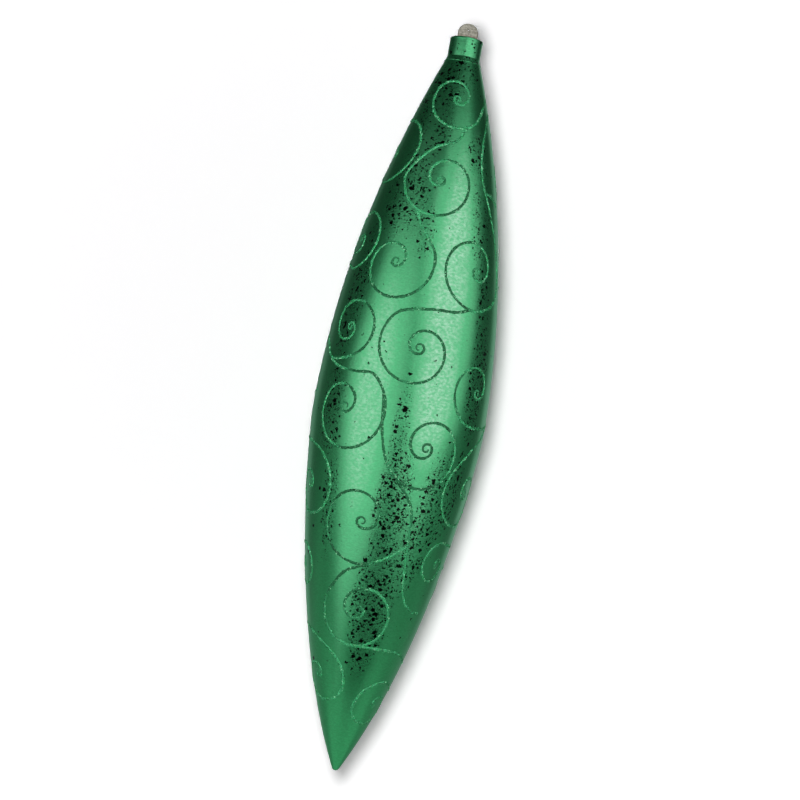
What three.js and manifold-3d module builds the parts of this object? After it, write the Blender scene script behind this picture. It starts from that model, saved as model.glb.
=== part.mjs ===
// A hanging finial ornament: a tall hollow drop in a plated collar with a hanging tab, wound over with
// raised scrolls of glitter glue. Millimetres and degrees, +Z up, hanging as it is used. The front looks
// along -Y. The origin is the centre of the tab's eye, where the hook or cord takes hold.
import * as THREE from "three";
import { mergeVertices } from "three/addons/utils/BufferGeometryUtils.js";
import Module from "manifold-3d";

// Driving dimensions
const DROP_LENGTH = 762; // from the tip up to the shoulder that the collar seats on
const BELLY_RADIUS = 91.2;
const BELLY_HEIGHT = 374; // of the widest place above the tip
const TIP_RADIUS = 4.2;
const TIP_HALF_ANGLE = 26.8;
const SHOULDER_RADIUS = 17.3;
const SHOULDER_HALF_ANGLE = 17.9;
const SHELL_WALL = 1.6;
const NECK_HEIGHT = 13;
const NECK_WALL = 1.8;

const COLLAR_RADIUS = 17.2;
const COLLAR_HEIGHT = 20.6;
const COLLAR_WALL = 1.4;
const COLLAR_TOP_THICKNESS = 1.6;
const COLLAR_BEVEL = 0.4;
const RIM_HEIGHT = 2.4; // the rolled rim that stands proud round the collar's top
const RIM_PROUD = 0.35;

const TAB_WIDTH = 21.6;
const TAB_HEIGHT = 17.5; // above the collar's top
const TAB_THICKNESS = 3.2;
const TAB_RIM = 1.5; // the thicker border round the tab's web
const TAB_WEB = 2;
const EYE_RADIUS = 0.9;
const EYE_BOSS_WALL = 1.3; // of the boss that thickens the web round the eye
const EYE_DEPTH = 7; // of the eye's centre below the top of the tab
const FLANGE_RADIUS = 6.5;
const FLANGE_THICKNESS = 1.4;
const STEM_RADIUS = 2.6;
const BARB_RADIUS = 3.9;
const BARB_HEIGHT = 3.4;
const SLOT_WIDTH = 1.2; // lets the barb's two legs pinch together to pass the collar's hole

const BEAD_WIDTH = 2.8;
const BEAD_HEIGHT = 0.8;
const BEAD_STEP = 9.5; // the longest run between two sections of a bead
const BEAD_BEND = 36; // the sharpest bend between two sections, in degrees

const CLEARANCE = 0.3; // between pieces that touch, and round the stem
const OVERRUN = 1; // how far a cutting solid runs past what it cuts

// How the two curved spans of the drop's side pull on their lower and upper ends, as shares of the
// span's height
const LOWER_PULL_SHARES = [0.43, 0.05];
const UPPER_PULL_SHARES = [0.534, 0.055];

// The scrollwork of one half, which a half turn repeats at the back. A stroke grows from a root, [an
// earlier stroke of its vine, the share of that stroke's run], or starts free. It runs through its
// stem's places, each [degrees round from the front, share of the drop's length above the tip], and
// winds into its scroll: the eye's place, the first reach from the eye as a share of the drop's length,
// the sense of the winding seen from outside, the bearing of its start from the eye, the turns, and how
// long it stays wide before it curls in.
const VINE_SHARES = {
  crown_vine: [
    { stem: [[74, 0.948], [55, 0.931], [34, 0.905]],
      eye: [4, 0.936], reach: 0.041, sense: -1, bearing: -85, turns: 1.15, width: 0.9 },
    { root: [0, 0.27], stem: [[10, 0.877], [-15, 0.862]],
      eye: [-1, 0.819], reach: 0.051, sense: 1, bearing: 178, turns: 1.3, width: 1.2 },
    { root: [1, 0.45], stem: [[-10, 0.755]],
      eye: [-23, 0.701], reach: 0.052, sense: -1, bearing: 22, turns: 1.25, width: 1.2 },
  ],
  trailing_vine: [
    { stem: [[78, 0.93], [63, 0.912], [48, 0.874], [47, 0.83], [57, 0.797], [69, 0.75], [75, 0.705],
        [69, 0.675]],
      eye: [42, 0.706], reach: 0.052, sense: -1, bearing: -70, turns: 1.2, width: 1.25 },
    { root: [0, 0.6], stem: [[28, 0.648], [8, 0.645]],
      eye: [5, 0.592], reach: 0.055, sense: 1, bearing: 128, turns: 1.45, width: 1 },
    { root: [0, 0.22], stem: [[63, 0.813], [77, 0.803]] },
  ],
  belly_vine: [
    { stem: [[-78, 0.59], [-57, 0.556], [-35, 0.548]],
      eye: [-37, 0.5], reach: 0.058, sense: -1, bearing: 58, turns: 1.3, width: 1.55 },
    { root: [0, 0.1], stem: [[-50, 0.562]],
      eye: [-48, 0.606], reach: 0.041, sense: 1, bearing: -62, turns: 1.35, width: 1.25 },
    { root: [0, 0.35], stem: [[-8, 0.468]],
      eye: [21.5, 0.463], reach: 0.0555, sense: 1, bearing: 212, turns: 1.45, width: 1 },
    { root: [2, 0.3], stem: [[20, 0.382], [24, 0.335], [27, 0.3], [32, 0.266], [42, 0.246], [60, 0.238]] },
    { root: [3, 0.45], stem: [[10, 0.311]],
      eye: [-13, 0.354], reach: 0.057, sense: -1, bearing: -82, turns: 1.08, width: 1.15 },
    { root: [4, 0.1], stem: [[-3, 0.299], [-22, 0.283]],
      eye: [-5, 0.234], reach: 0.051, sense: 1, bearing: 168, turns: 1.5, width: 1.15 },
    { root: [5, 0.47], stem: [[28, 0.185], [58, 0.179], [82, 0.163]] },
  ],
  flank_vine: [
    { stem: [[104, 0.517], [89, 0.508], [72, 0.501]],
      eye: [56, 0.547], reach: 0.047, sense: -1, bearing: -80, turns: 1.05, width: 1.3 },
    { root: [0, 0.15], stem: [[74, 0.487], [60, 0.466]],
      eye: [70, 0.41], reach: 0.054, sense: 1, bearing: 138, turns: 1.4, width: 0.95 },
  ],
  upper_curl: [
    { stem: [[-92, 0.904]],
      eye: [-75, 0.852], reach: 0.05, sense: -1, bearing: 92, turns: 1.15, width: 1.5 },
  ],
  shoulder_curl: [
    { stem: [[-92, 0.698]],
      eye: [-70, 0.728], reach: 0.043, sense: 1, bearing: -80, turns: 1.5, width: 1.25 },
  ],
  side_curl: [
    { stem: [[-86, 0.45]],
      eye: [-68, 0.39], reach: 0.053, sense: -1, bearing: 75, turns: 1.35, width: 0.95 },
  ],
  lower_curl: [
    { stem: [[-98, 0.302]],
      eye: [-79, 0.277], reach: 0.031, sense: -1, bearing: 80, turns: 1.2, width: 1.25 },
  ],
  small_curl: [
    { stem: [[82, 0.334]],
      eye: [60, 0.309], reach: 0.031, sense: 1, bearing: 70, turns: 1.2, width: 1.25 },
  ],
  tail_curl: [
    { stem: [[-84, 0.198], [-62, 0.191]],
      eye: [-54, 0.136], reach: 0.045, sense: -1, bearing: 62, turns: 1.25, width: 0.95 },
  ],
  toe_curl: [
    { stem: [[86, 0.123], [74, 0.128]],
      eye: [50, 0.105], reach: 0.033, sense: 1, bearing: 62, turns: 1.25, width: 1.8 },
  ],
};
const TIGHTNESS_SHARE = 0.14; // a scroll's last reach as a share of its first
const BEAD_END_SHARE = 0.5; // how far a bead narrows at its two ends
const BEAD_STEP_SHARE = 0.2; // the longest run of a bead as a share of the drop's radius there
const ROUND_PER_LENGTH = 479; // degrees round the belly that run as far as the drop is long

const ROUND_FACETS = 48;
const SMALL_FACETS = 16;
const TIP_STEPS = 3;
const OUTER_STEPS = 14;
const INNER_STEPS = 6;
const SCROLL_STEPS = 18; // places on each turn of a scroll, before the bead's own steps
const FINE_STEPS = 12; // between two places of a stroke, before the bead's own steps

// Places along the axis
const COLLAR_TOP = EYE_DEPTH - TAB_HEIGHT;
const SHOULDER = COLLAR_TOP - COLLAR_HEIGHT;
const TIP = SHOULDER - DROP_LENGTH;
const COLLAR_UNDERSIDE = COLLAR_TOP - COLLAR_TOP_THICKNESS;

const radians = THREE.MathUtils.degToRad;
const wasm = await Module();
wasm.setup();

const platedGreen = new THREE.MeshStandardMaterial({ color: 0x52b47b, roughness: 0.3, metalness: 1 });
const greenGlitter = new THREE.MeshStandardMaterial({ color: 0x4fa870, roughness: 0.55, metalness: 0.7 });
const frostedClear = new THREE.MeshStandardMaterial({ color: 0xc4c1b6, roughness: 0.5, metalness: 0 });

// A closed geometry as a solid that can be joined and cut.
function solidOf(geometry) {
  const bare = geometry.clone();
  bare.deleteAttribute("normal");
  bare.deleteAttribute("uv");
  const merged = mergeVertices(bare);
  const mesh = new wasm.Mesh({
    numProp: 3,
    vertProperties: merged.attributes.position.array,
    triVerts: new Uint32Array(merged.index.array),
  });
  return new wasm.Manifold(mesh);
}

// A solid back as a geometry.
function geometryOf(solid) {
  const mesh = solid.getMesh();
  const geometry = new THREE.BufferGeometry();
  geometry.setAttribute("position", new THREE.BufferAttribute(mesh.vertProperties, 3));
  geometry.setIndex(new THREE.BufferAttribute(mesh.triVerts, 1));
  geometry.computeVertexNormals();
  return geometry;
}

// A profile of [radius, height] pairs turned about the Z axis.
function turned(profile, facets) {
  const points = profile.map(([radius, height]) => new THREE.Vector2(radius, height));
  return new THREE.LatheGeometry(points, facets).rotateX(Math.PI / 2);
}

// An outline in X and Z, given its depth evenly about the XZ plane.
function slab(shape, depth, curveSegments) {
  const geometry = new THREE.ExtrudeGeometry(shape, { depth, bevelEnabled: false, curveSegments });
  return geometry.translate(0, 0, -depth / 2).rotateX(Math.PI / 2);
}

// The drop's side from the tip to the shoulder: the tip's arc, a span up to the belly and one on to the
// shoulder. Each span leaves its ends along the side's slope there.
function dropSide() {
  const lean = radians(TIP_HALF_ANGLE);
  const narrowing = radians(SHOULDER_HALF_ANGLE);
  const side = new THREE.Path();
  side.absarc(0, TIP + TIP_RADIUS, TIP_RADIUS, -Math.PI / 2, -lean);
  const toe = side.getPoint(1);
  const belly = TIP + BELLY_HEIGHT;
  const [toePull, underPull] = LOWER_PULL_SHARES.map((share) => share * (belly - toe.y));
  const [overPull, shoulderPull] = UPPER_PULL_SHARES.map((share) => share * (SHOULDER - belly));
  side.bezierCurveTo(
    toe.x + toePull * Math.sin(lean), toe.y + toePull * Math.cos(lean),
    BELLY_RADIUS, belly - underPull,
    BELLY_RADIUS, belly,
  );
  side.bezierCurveTo(
    BELLY_RADIUS, belly + overPull,
    SHOULDER_RADIUS + shoulderPull * Math.sin(narrowing), SHOULDER - shoulderPull * Math.cos(narrowing),
    SHOULDER_RADIUS, SHOULDER,
  );
  return side;
}

// [radius, height] pairs up the drop's side, moved in square to it by an inset.
function sidePoints(inset, spanSteps) {
  const points = [];
  dropSide().curves.forEach((curve, number) => {
    const steps = number === 0 ? TIP_STEPS : spanSteps;
    for (let i = number === 0 ? 0 : 1; i <= steps; i++) {
      const place = curve.getPoint(i / steps);
      const along = curve.getTangent(i / steps);
      points.push([place.x - inset * along.y, place.y + inset * along.x]);
    }
  });
  points[0][0] = 0;
  return points;
}

// The hollow drop: its side, the flat shoulder, the open neck, and the wall's inner face down again.
function makeShell() {
  const neckRadius = COLLAR_RADIUS - COLLAR_WALL - CLEARANCE;
  const neckBore = neckRadius - NECK_WALL;
  const throat = SHOULDER - 2 * SHELL_WALL;
  const inner = sidePoints(SHELL_WALL, INNER_STEPS).filter(([, height]) => height < throat);
  const profile = [
    ...sidePoints(0, OUTER_STEPS),
    [neckRadius, SHOULDER],
    [neckRadius, SHOULDER + NECK_HEIGHT],
    [neckBore, SHOULDER + NECK_HEIGHT],
    [neckBore, SHOULDER - SHELL_WALL],
    ...inner.reverse(),
  ];
  return turned(profile, ROUND_FACETS);
}

// The plated collar: a skirt over the neck, a rolled rim, and a top with the hanger's hole.
function makeCollar() {
  const foot = SHOULDER + CLEARANCE;
  const hole = STEM_RADIUS + CLEARANCE;
  const bore = COLLAR_RADIUS - COLLAR_WALL;
  const rim = COLLAR_RADIUS + RIM_PROUD;
  const profile = [
    [bore, foot],
    [COLLAR_RADIUS - COLLAR_BEVEL, foot],
    [COLLAR_RADIUS, foot + COLLAR_BEVEL],
    [COLLAR_RADIUS, COLLAR_TOP - RIM_HEIGHT],
    [rim, COLLAR_TOP - RIM_HEIGHT + RIM_PROUD],
    [rim, COLLAR_TOP - COLLAR_BEVEL],
    [rim - COLLAR_BEVEL, COLLAR_TOP],
    [hole, COLLAR_TOP],
    [hole, COLLAR_UNDERSIDE],
    [bore, COLLAR_UNDERSIDE],
    [bore, foot],
  ];
  return turned(profile, ROUND_FACETS);
}

// The tab's outline, drawn in by an inset: straight sides under a half round.
function tabOutline(inset, foot) {
  const half = TAB_WIDTH / 2 - inset;
  const spring = EYE_DEPTH - TAB_WIDTH / 2;
  const outline = new THREE.Shape();
  outline.moveTo(-half, foot);
  outline.lineTo(half, foot);
  outline.lineTo(half, spring);
  outline.absarc(0, spring, half, 0, Math.PI);
  outline.closePath();
  return outline;
}

// The moulded hanger: a thin half-round tab with a thicker rim and an eye, a flange that rests on the
// collar, and a slotted stem whose barb snaps under the collar's top.
function makeHanger() {
  const flangeFoot = COLLAR_TOP + CLEARANCE;
  const flangeTop = flangeFoot + FLANGE_THICKNESS;
  const catchTop = COLLAR_UNDERSIDE - CLEARANCE;
  const barbFoot = catchTop - BARB_HEIGHT;
  const plug = turned(
    [
      [0, barbFoot],
      [STEM_RADIUS, barbFoot],
      [BARB_RADIUS, catchTop - BARB_HEIGHT / 3],
      [BARB_RADIUS, catchTop],
      [STEM_RADIUS, catchTop],
      [STEM_RADIUS, flangeFoot],
      [FLANGE_RADIUS, flangeFoot],
      [FLANGE_RADIUS, flangeTop],
      [0, flangeTop],
    ],
    SMALL_FACETS,
  );
  const slotHeight = flangeFoot - barbFoot;
  const slot = new THREE.BoxGeometry(SLOT_WIDTH, 2 * (BARB_RADIUS + OVERRUN), slotHeight + OVERRUN);
  slot.translate(0, 0, flangeFoot - (slotHeight + OVERRUN) / 2);

  const tab = slab(tabOutline(0, flangeFoot + FLANGE_THICKNESS / 2), TAB_THICKNESS, SMALL_FACETS);
  const pocketDepth = (TAB_THICKNESS - TAB_WEB) / 2;
  const pocket = slab(tabOutline(TAB_RIM, flangeTop + TAB_RIM), pocketDepth + OVERRUN, SMALL_FACETS);
  const pocketShift = (TAB_WEB + pocketDepth + OVERRUN) / 2;
  const bossRadius = EYE_RADIUS + EYE_BOSS_WALL;
  const boss = new THREE.CylinderGeometry(bossRadius, bossRadius, TAB_THICKNESS, SMALL_FACETS);
  const eye = new THREE.CylinderGeometry(EYE_RADIUS, EYE_RADIUS, TAB_THICKNESS + 2 * OVERRUN, SMALL_FACETS);
  const hanger = solidOf(plug)
    .subtract(solidOf(slot))
    .add(solidOf(tab))
    .subtract(solidOf(pocket.clone().translate(0, pocketShift, 0)))
    .subtract(solidOf(pocket.translate(0, -pocketShift, 0)))
    .add(solidOf(boss))
    .subtract(solidOf(eye));
  return geometryOf(hanger);
}

const SIDE = sidePoints(0, OUTER_STEPS);

// The place on the drop's side at a height, with the way out of the surface there.
function sideAt(height) {
  const next = SIDE.findIndex((point, i) => i > 0 && point[1] >= height);
  const [lowRadius, low] = SIDE[next - 1];
  const [highRadius, high] = SIDE[next];
  const radius = THREE.MathUtils.mapLinear(height, low, high, lowRadius, highRadius);
  return { radius, out: new THREE.Vector2(high - low, lowRadius - highRadius).normalize() };
}

// A place on the drop, round from the front and up from the tip, with the way out of the surface.
function seat(round, height) {
  const { radius, out } = sideAt(height);
  const around = new THREE.Vector3(Math.sin(round), -Math.cos(round), 0);
  return {
    radius,
    point: around.clone().multiplyScalar(radius).setZ(height),
    out: around.clone().multiplyScalar(out.x).setZ(out.y),
  };
}

// The places of one stroke, its stem and then its scroll. The reach from the eye shrinks along half a
// cosine, so the scroll stays wide at first and then curls in.
function strokePlaces({ stem, eye, reach, sense, bearing, turns, width }) {
  const places = stem.map(([round, share]) => seat(radians(round), TIP + share * DROP_LENGTH).point);
  const steps = eye ? Math.ceil(turns * SCROLL_STEPS) : 0;
  for (let i = 0; i < steps; i++) {
    const run = i / (steps - 1);
    const ease = (1 + Math.cos(Math.PI * run ** width)) / 2;
    const share = reach * THREE.MathUtils.lerp(TIGHTNESS_SHARE, 1, ease);
    const angle = radians(bearing + sense * 360 * turns * run);
    const height = TIP + (eye[1] + share * Math.sin(angle)) * DROP_LENGTH;
    const girth = sideAt(height).radius / BELLY_RADIUS;
    const round = eye[0] + (share * ROUND_PER_LENGTH * Math.cos(angle)) / girth;
    places.push(seat(radians(round), height).point);
  }
  return places;
}

// The smooth curve of each stroke of a vine, through its root on an earlier stroke and its places.
function vineCurves(strokes) {
  const curves = [];
  for (const stroke of strokes) {
    const places = strokePlaces(stroke);
    if (stroke.root) places.unshift(curves[stroke.root[0]].getPointAt(stroke.root[1]));
    curves.push(new THREE.CatmullRomCurve3(places));
  }
  return curves;
}

// Sections along a curve, seated on the drop: one wherever the run or the bend since the last has grown
// to its limit.
function beadSections(curve) {
  const places = curve.getPoints(curve.points.length * FINE_STEPS);
  const fine = places.map((place) => seat(Math.atan2(place.x, -place.y), place.z));
  const end = fine.length - 1;
  fine.forEach((place, i) => {
    const ahead = fine[Math.min(i + 1, end)].point;
    place.along = ahead.clone().sub(fine[Math.max(i - 1, 0)].point).normalize();
  });
  const sections = [fine[0]];
  for (let i = 1; i < end; i++) {
    const last = sections[sections.length - 1];
    const step = Math.min(BEAD_STEP, BEAD_STEP_SHARE * last.radius);
    const isLong = fine[i + 1].point.distanceTo(last.point) > step;
    const isBent = fine[i + 1].along.angleTo(last.along) > radians(BEAD_BEND);
    if (isLong || isBent) sections.push(fine[i]);
  }
  return [...sections, fine[end]];
}

// One stroke of glitter glue: a low ridge with its flat side to the drop, narrowed at both ends.
function makeBead(curve) {
  const sections = beadSections(curve);
  const corners = [];
  const faces = [];
  sections.forEach(({ point, out, along }, i) => {
    const isEnd = i === 0 || i === sections.length - 1;
    const fullness = isEnd ? BEAD_END_SHARE : 1;
    const foot = point.clone().addScaledVector(out, CLEARANCE);
    const sideways = new THREE.Vector3().crossVectors(along, out).normalize();
    const reach = (fullness * BEAD_WIDTH) / 2;
    corners.push(
      ...foot.clone().addScaledVector(sideways, -reach),
      ...foot.clone().addScaledVector(sideways, reach),
      ...foot.clone().addScaledVector(out, fullness * BEAD_HEIGHT),
    );
    if (i === 0) return;
    for (let corner = 0; corner < 3; corner++) {
      const a = 3 * i + corner;
      const b = 3 * i + ((corner + 1) % 3);
      faces.push(a - 3, b, b - 3, a - 3, a, b);
    }
  });
  const end = corners.length / 3 - 3;
  faces.push(0, 1, 2, end, end + 2, end + 1);
  const bead = new THREE.BufferGeometry();
  bead.setAttribute("position", new THREE.Float32BufferAttribute(corners, 3));
  bead.setIndex(faces);
  return bead;
}

// The strokes of one vine, grown together.
function makeVine(strokes) {
  const [first, ...rest] = vineCurves(strokes).map((curve) => solidOf(makeBead(curve)));
  return geometryOf(rest.reduce((vine, bead) => vine.add(bead), first));
}

function named(name, geometry, material) {
  const mesh = new THREE.Mesh(geometry, material);
  mesh.name = name;
  return mesh;
}

const finial = new THREE.Group();
finial.add(
  named("shell", makeShell(), platedGreen),
  named("collar", makeCollar(), platedGreen),
  named("hanger", makeHanger(), frostedClear),
);
for (const [name, strokes] of Object.entries(VINE_SHARES)) {
  const vine = makeVine(strokes);
  const back = named(`${name}_back`, vine, greenGlitter);
  back.rotation.z = Math.PI;
  finial.add(named(`${name}_front`, vine, greenGlitter), back);
}

export default finial;
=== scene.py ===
import math

import bmesh
import bpy
import numpy as np
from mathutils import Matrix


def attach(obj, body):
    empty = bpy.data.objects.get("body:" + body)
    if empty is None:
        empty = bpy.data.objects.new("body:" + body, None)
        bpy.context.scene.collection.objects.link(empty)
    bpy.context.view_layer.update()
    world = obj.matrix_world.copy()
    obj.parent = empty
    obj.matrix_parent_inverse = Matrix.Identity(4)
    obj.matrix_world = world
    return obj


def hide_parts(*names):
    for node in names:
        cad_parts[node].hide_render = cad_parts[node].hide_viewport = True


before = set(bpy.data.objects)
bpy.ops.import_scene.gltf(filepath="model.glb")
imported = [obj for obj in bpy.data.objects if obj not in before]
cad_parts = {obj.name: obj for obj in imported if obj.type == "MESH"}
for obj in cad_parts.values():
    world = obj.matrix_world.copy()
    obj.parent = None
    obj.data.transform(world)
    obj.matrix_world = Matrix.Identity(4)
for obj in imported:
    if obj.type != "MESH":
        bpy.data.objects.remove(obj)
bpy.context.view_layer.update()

# The drop: one long hollow moulding, blown thin and plated green over every outer face, with the open
# neck that the collar slides on. The plating is aged on purpose with small sharp-edged dark specks.
# Sizes here and below are in millimetres and degrees; add_mesh turns them into metres.
MILLIMETRE = 0.001
DROP_LENGTH = 762
BELLY_RADIUS = 91.2
BELLY_HEIGHT = 374
TIP_RADIUS = 4.2
TIP_HALF_ANGLE = 26.8
SHOULDER_RADIUS = 17.3
SHOULDER_HALF_ANGLE = 17.9
SHELL_WALL = 1.6
# How far the side's cubic spans leave their ends along the slopes there, as shares of their heights
LOWER_PULL_SHARES = [0.43, 0.05]
UPPER_PULL_SHARES = [0.534, 0.055]
COLLAR_TOP = -10.5
COLLAR_HEIGHT = 20.6
SHOULDER = COLLAR_TOP - COLLAR_HEIGHT
TIP = SHOULDER - DROP_LENGTH
RING_FOOT = SHOULDER - 5.6
RING_WIDTH = 1.4
RING_PROUD = 0.55
RING_PLACES = 9
NECK_RADIUS = 15.5
NECK_BORE = 13.7
NECK_TOP = SHOULDER + 13
DROP_ROUNDS = 256
TIP_PLACES = 10
SPAN_STEPS = 130
INNER_SPAN_STEPS = 30
# Where the specks crowd: [degrees round, half width, share of the length, half height, fullness]
SPECK_ZONES = [
    [-26, 46, 0.95, 0.055, 0.5], [20, 50, 0.98, 0.03, 0.4], [-9, 18, 0.943, 0.032, 0.7],
    [40, 16, 0.865, 0.035, 0.6], [-10, 16, 0.89, 0.035, 0.7], [-38, 12, 0.905, 0.03, 0.7],
    [-28, 26, 0.8, 0.08, 0.62], [46, 14, 0.79, 0.1, 0.35], [-4, 9, 0.745, 0.04, 0.5],
    [-52, 11, 0.65, 0.11, 0.7], [-50, 12, 0.49, 0.07, 1], [53, 10, 0.67, 0.07, 0.5],
    [54, 11, 0.57, 0.1, 0.85], [2, 6, 0.475, 0.07, 0.75], [6, 14, 0.38, 0.09, 1.2],
    [38, 16, 0.39, 0.09, 0.8], [52, 8, 0.41, 0.06, 0.8], [-42, 8, 0.365, 0.08, 0.9],
    [6, 20, 0.238, 0.1, 1.6], [29, 14, 0.32, 0.06, 0.9]]
SPECK_ZONE_STEEPNESS = 1.6
# The thin scatter of specks outside the zones: its fullness, and its [middle, half height, fade]
SCATTER = 0.006
SCATTER_BAND = [0.6, 0.43, 0.06]
# The pale sheen is a painted highlight, laid along the two bright fronts where the bright cloths reflect.
# Where the sheen is painted: [degrees round, half width, share of the length, half height, fullness]
PAINTED_SHEEN_ZONES = [[20, 16, 0.68, 0.2, 0.76], [21, 15, 0.55, 0.12, 0.74], [-21, 13, 0.52, 0.17, 0.45]]
PAINTED_SHEEN_STEEPNESS = 1.25
LEAST_PAINTED_SHEEN = 0.03
# The three sizes of specks: [cells per metre, share of the crowding, largest radius in a cell]
SPECK_SIZES = [[170, 0.8, 0.5], [350, 0.95, 0.55], [760, 0.5, 0.52]]
SMALLEST_SPECK_SHARE = 0.3
SPECK_EDGE = 0.04
# The plating's noises, in waves per metre, and the values between which each rises from none to full
CLUSTER_SCALE = 60
CLUSTER_RISE = [0.22, 0.5]
RAGGED_SCALE = 460
RAGGED_REACH = 0.0046
CLOUD_SCALE = 280
CLOUD_RISE = [0.34, 0.74]
FINE_SCALE = 620
RIPPLE_SCALE = 260
RIPPLE_SHARE = 0.6
TONE_RISE = [0.36, 0.64]
# As [gain, start]: the flecks over the cloud, and the tone's swing over the density
FLECK_RANGE = [0.68, 0.18]
TONE_SWING = [0.9, 0.62]
# Linear colours
PLATE_GREEN = (0.1, 0.59, 0.25, 1)
PLATE_DEEP = (0.076, 0.44, 0.187, 1)
# The pale colour of the painted sheen, a painted highlight
PAINTED_SHEEN_PALE = (0.52, 0.8, 0.62, 1)
SPECK_BLACK = (0.002, 0.006, 0.003, 1)
PLATE_ROUGHNESS = 0.3
FLECK_GLOSS = 0.1
SPECK_GLOSS = 0.25
COAT_WEIGHT = 0.4
COAT_ROUGHNESS = 0.12
SPECK_COAT_LOSS = 0.3
# How deep a speck is pitted beside the ripples, and the relief's strength and its height in metres
SPECK_PIT = 1.2
RELIEF_STRENGTH = 0.4
RELIEF_HEIGHT = 0.00018


def cubic_span(start, start_pull, end_pull, end, steps):
    """A cubic Bezier from start to end, as steps places without its first: the two pulls weigh in by
    3t(1-t)^2 and 3t^2(1-t), the ends by (1-t)^3 and t^3."""
    t = np.linspace(0, 1, steps + 1)[1:, None]
    weights = (1 - t) ** 3, 3 * t * (1 - t) ** 2, 3 * t ** 2 * (1 - t), t ** 3
    return sum(w * np.array(p) for w, p in zip(weights, (start, start_pull, end_pull, end)))


def drop_side(span_steps):
    """Rows of (radius, height) up the drop's side: the tip's arc, a cubic span to the belly and another
    to the shoulder. Each span leaves its ends along the side's slope there."""
    lean, narrowing = np.radians([TIP_HALF_ANGLE, SHOULDER_HALF_ANGLE])
    turn = np.linspace(-np.pi / 2, -lean, TIP_PLACES)
    arc = np.column_stack([TIP_RADIUS * np.cos(turn), TIP + TIP_RADIUS * (1 + np.sin(turn))])
    arc[0, 0] = 0
    toe, belly = arc[-1], TIP + BELLY_HEIGHT
    toe_pull, under_pull = np.array(LOWER_PULL_SHARES) * (belly - toe[1])
    over_pull, shoulder_pull = np.array(UPPER_PULL_SHARES) * (SHOULDER - belly)
    lower = cubic_span(
        toe, toe + toe_pull * np.array([np.sin(lean), np.cos(lean)]),
        (BELLY_RADIUS, belly - under_pull), (BELLY_RADIUS, belly), span_steps)
    shoulder = np.array([SHOULDER_RADIUS, SHOULDER])
    upper = cubic_span(
        (BELLY_RADIUS, belly), (BELLY_RADIUS, belly + over_pull),
        shoulder + shoulder_pull * np.array([np.sin(narrowing), -np.cos(narrowing)]),
        shoulder, span_steps)
    return np.concatenate([arc, lower, upper])


def unit(ways):
    """Rows of ways, each divided by its own length."""
    return ways / np.linalg.norm(ways, axis=-1)[..., None]


def inset(side, depth):
    """A side moved in by depth, square to its own slope, with its first place back on the axis."""
    slope = unit(np.gradient(side, axis=0))
    moved = side + depth * np.column_stack([-slope[:, 1], slope[:, 0]])
    moved[0, 0] = 0
    return moved


def add_object(name, data):
    """An object of the scene, at the origin, made of a mesh, a lamp or a camera."""
    thing = bpy.data.objects.new(name, data)
    bpy.context.scene.collection.objects.link(thing)
    return thing


def add_mesh(name, points, faces, sharp_angle=40):
    """Points in millimetres and rows of corner numbers as a smooth-shaded object at the origin, with its
    edges sharp past an angle."""
    mesh = bpy.data.meshes.new(name)
    mesh.from_pydata((np.asarray(points) * MILLIMETRE).tolist(), [], faces)
    mesh.shade_smooth()
    mesh.set_sharp_from_angle(angle=math.radians(sharp_angle))
    mesh.validate()
    return add_object(name, mesh)


def grid_faces(rows, columns, closed_rows=False, closed_columns=False):
    """Corner numbers of the quads between neighbouring places of a grid, joined round where closed."""
    row = np.arange(rows if closed_rows else rows - 1)[:, None]
    column = np.arange(columns if closed_columns else columns - 1)[None, :]
    next_row, next_column = (row + 1) % rows, (column + 1) % columns
    corners = np.stack([
        row * columns + column, row * columns + next_column,
        next_row * columns + next_column, next_row * columns + column], axis=-1)
    return corners.reshape(-1, 4)


def turned(name, profile, rounds, sharp_angle=40):
    """A profile of (radius, height) turned about the Z axis: x = r sin(a), y = -r cos(a). Places on the
    axis are merged into one."""
    profile = np.asarray(profile, float)
    angle = np.linspace(0, 2 * np.pi, rounds, endpoint=False)
    radius, height = profile[:, :1], np.repeat(profile[:, 1:], rounds, axis=1)
    points = np.stack([radius * np.sin(angle), -radius * np.cos(angle), height], axis=-1)
    is_closed = np.allclose(profile[0], profile[-1])
    if is_closed:
        points = points[:-1]
    faces = grid_faces(len(points), rounds, closed_rows=is_closed, closed_columns=True)
    piece = add_mesh(name, points.reshape(-1, 3), faces.tolist(), sharp_angle)
    work = bmesh.new()
    work.from_mesh(piece.data)
    bmesh.ops.remove_doubles(work, verts=work.verts, dist=1e-7)
    work.to_mesh(piece.data)
    work.free()
    piece.data.set_sharp_from_angle(angle=math.radians(sharp_angle))
    return piece


def finish_piece(piece, body, slot, material, *nodes):
    """Gives a piece its material and its body, and hides the CAD nodes that it stands for; the slot
    is not used.
    """
    piece.data.materials.append(material)
    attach(piece, body)
    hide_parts(*nodes)


def new_group(name, inputs, outputs):
    """An empty shader node group with float inputs, each with its start value, and typed outputs."""
    group = bpy.data.node_groups.new(name, "ShaderNodeTree")
    for label, value in inputs.items():
        socket = group.interface.new_socket(label, in_out="INPUT", socket_type="NodeSocketFloat")
        socket.default_value = value
    for label, kind in outputs.items():
        group.interface.new_socket(label, in_out="OUTPUT", socket_type=kind)
    return group, group.nodes.new("NodeGroupInput"), group.nodes.new("NodeGroupOutput")


def fill(tree, sockets, values):
    """Sets each input socket to its value, or links it where the value is itself a socket."""
    for socket, value in zip(sockets, values):
        if isinstance(value, bpy.types.NodeSocket):
            tree.links.new(value, socket)
        else:
            socket.default_value = value


def fill_named(tree, node, **values):
    """Fills a node's inputs by their names, with _ for a space."""
    fill(tree, [node.inputs[label.replace("_", " ")] for label in values], values.values())


def add_node(tree, kind, settings=None, **values):
    """A node with its settings, and with its inputs filled by name."""
    node = tree.nodes.new(kind)
    for label, setting in (settings or {}).items():
        setattr(node, label, setting)
    fill_named(tree, node, **values)
    return node


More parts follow.
